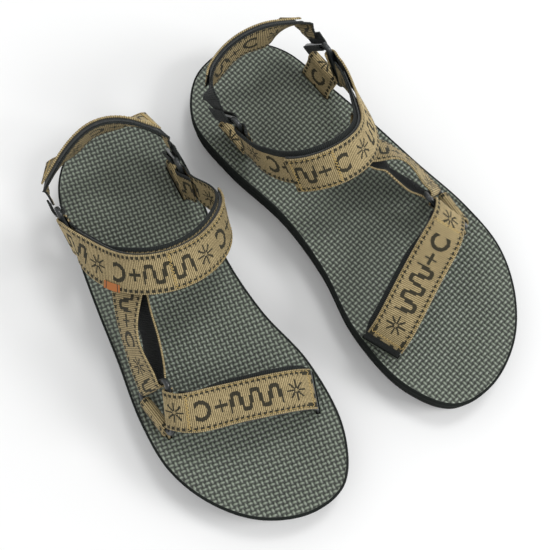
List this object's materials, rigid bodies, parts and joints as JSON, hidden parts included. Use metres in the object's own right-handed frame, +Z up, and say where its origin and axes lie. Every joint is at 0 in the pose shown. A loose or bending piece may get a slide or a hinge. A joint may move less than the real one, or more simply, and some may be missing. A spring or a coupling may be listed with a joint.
{
  "type": "strappy sport sandals",
  "caption": "Pair of flat sport sandals: a moulded sole with toe, instep and heel straps of patterned webbing, joined by triangular rings and closed by hook-and-loop tabs.",
  "frame": {"origin": "on the ground, under the middle of the box round the pair", "axes": "+Z up; the soles stand on z = 0, toes point mostly towards -Y, and the left sandal is on the +X side"},
  "size_m": [0.2984, 0.3154, 0.099],
  "materials": {
    "outsole_rubber": "matt moulded rubber with cross grooves",
    "midsole_foam": "smooth near-black foam sidewall, slightly satin",
    "footbed_foam": "dark green-grey, moulded with a woven-look relief",
    "ring_plastic": "dark glossy moulded rings",
    "patterned_webbing": "khaki jacquard webbing with dark geometric motifs and dashed borders",
    "plain_webbing": "dark grey-green ribbed webbing with a satin sheen",
    "loop_pile": "dark soft loop pile",
    "hook_tape": "near-black hook tape",
    "label": "small blank orange woven label"
  },
  "bodies": {
    "right_sandal": {"right_outsole": "outsole_rubber", "right_midsole": "midsole_foam", "right_footbed": "footbed_foam", "right_front_ring": "ring_plastic", "right_outer_ring": "ring_plastic", "right_inner_ring": "ring_plastic", "right_front_anchor": "patterned_webbing", "right_outer_anchor": "patterned_webbing", "right_inner_anchor": "patterned_webbing", "right_toe_strap": "plain_webbing", "right_toe_loop_patch": "loop_pile", "right_instep_strap": "patterned_webbing", "right_instep_loop_patch": "loop_pile", "right_instep_return": "patterned_webbing", "right_side_strap": "patterned_webbing", "right_outer_keeper": "plain_webbing", "right_inner_keeper": "plain_webbing", "right_label": "label"},
    "right_toe_tab": {"right_toe_tab": "patterned_webbing", "right_toe_hook_patch": "hook_tape"},
    "right_instep_tab": {"right_instep_tab": "patterned_webbing", "right_instep_hook_patch": "hook_tape"},
    "right_heel_strap": {"right_heel_strap": "plain_webbing", "right_heel_loop_patch": "loop_pile"},
    "right_heel_tab": {"right_heel_tab": "patterned_webbing", "right_heel_hook_patch": "hook_tape"},
    "left_sandal": {"left_outsole": "outsole_rubber", "left_midsole": "midsole_foam", "left_footbed": "footbed_foam", "left_front_ring": "ring_plastic", "left_outer_ring": "ring_plastic", "left_inner_ring": "ring_plastic", "left_front_anchor": "patterned_webbing", "left_outer_anchor": "patterned_webbing", "left_inner_anchor": "patterned_webbing", "left_toe_strap": "plain_webbing", "left_toe_loop_patch": "loop_pile", "left_instep_strap": "patterned_webbing", "left_instep_loop_patch": "loop_pile", "left_instep_return": "patterned_webbing", "left_side_strap": "patterned_webbing", "left_outer_keeper": "plain_webbing", "left_inner_keeper": "plain_webbing"},
    "left_toe_tab": {"left_toe_tab": "patterned_webbing", "left_toe_hook_patch": "hook_tape"},
    "left_instep_tab": {"left_instep_tab": "patterned_webbing", "left_instep_hook_patch": "hook_tape"},
    "left_heel_strap": {"left_heel_strap": "plain_webbing", "left_heel_loop_patch": "loop_pile"},
    "left_heel_tab": {"left_heel_tab": "patterned_webbing", "left_heel_hook_patch": "hook_tape"}
  },
  "joints": [
    {"name": "right_toe_peel", "type": "hinge", "parent": "right_sandal", "child": "right_toe_tab", "pos_m": [-0.06719, -0.09371, 0.054], "axis": [0.073, -0.8275, -0.5567], "range_deg": [0, 100]},
    {"name": "right_instep_peel", "type": "hinge", "parent": "right_sandal", "child": "right_instep_tab", "pos_m": [-0.06787, -0.01946, 0.09135], "axis": [0.2051, -0.8114, -0.5473], "range_deg": [0, 100]},
    {"name": "right_heel_swing", "type": "hinge", "parent": "right_sandal", "child": "right_heel_strap", "pos_m": [-0.10733, 0.05333, 0.05851], "axis": [-0.8848, -0.4659, 0], "range_deg": [-10, 20]},
    {"name": "right_heel_peel", "type": "hinge", "parent": "right_heel_strap", "child": "right_heel_tab", "pos_m": [-0.14754, 0.0503, 0.06761], "axis": [0.025, -0.7793, 0.6262], "range_deg": [0, 80]},
    {"name": "left_toe_peel", "type": "hinge", "parent": "left_sandal", "child": "left_toe_tab", "pos_m": [0.10246, 0.02875, 0.05451], "axis": [-0.7498, 0.4369, 0.4969], "range_deg": [0, 100]},
    {"name": "left_instep_peel", "type": "hinge", "parent": "left_sandal", "child": "left_instep_tab", "pos_m": [0.03642, 0.04831, 0.09014], "axis": [-0.332, 0.6311, 0.7011], "range_deg": [0, 100]},
    {"name": "left_heel_swing", "type": "hinge", "parent": "left_sandal", "child": "left_heel_strap", "pos_m": [-0.0109, 0.119, 0.06436], "axis": [-0.7605, -0.6494, 0], "range_deg": [-10, 20]},
    {"name": "left_heel_peel", "type": "hinge", "parent": "left_heel_strap", "child": "left_heel_tab", "pos_m": [0.00531, 0.15156, 0.07567], "axis": [-0.5172, 0.3852, -0.7643], "range_deg": [0, 80]},
    {"name": "pair_spread", "type": "slide", "parent": "right_sandal", "child": "left_sandal", "axis": [1, 0, 0], "range_m": [0, 0.12]}
  ]
}
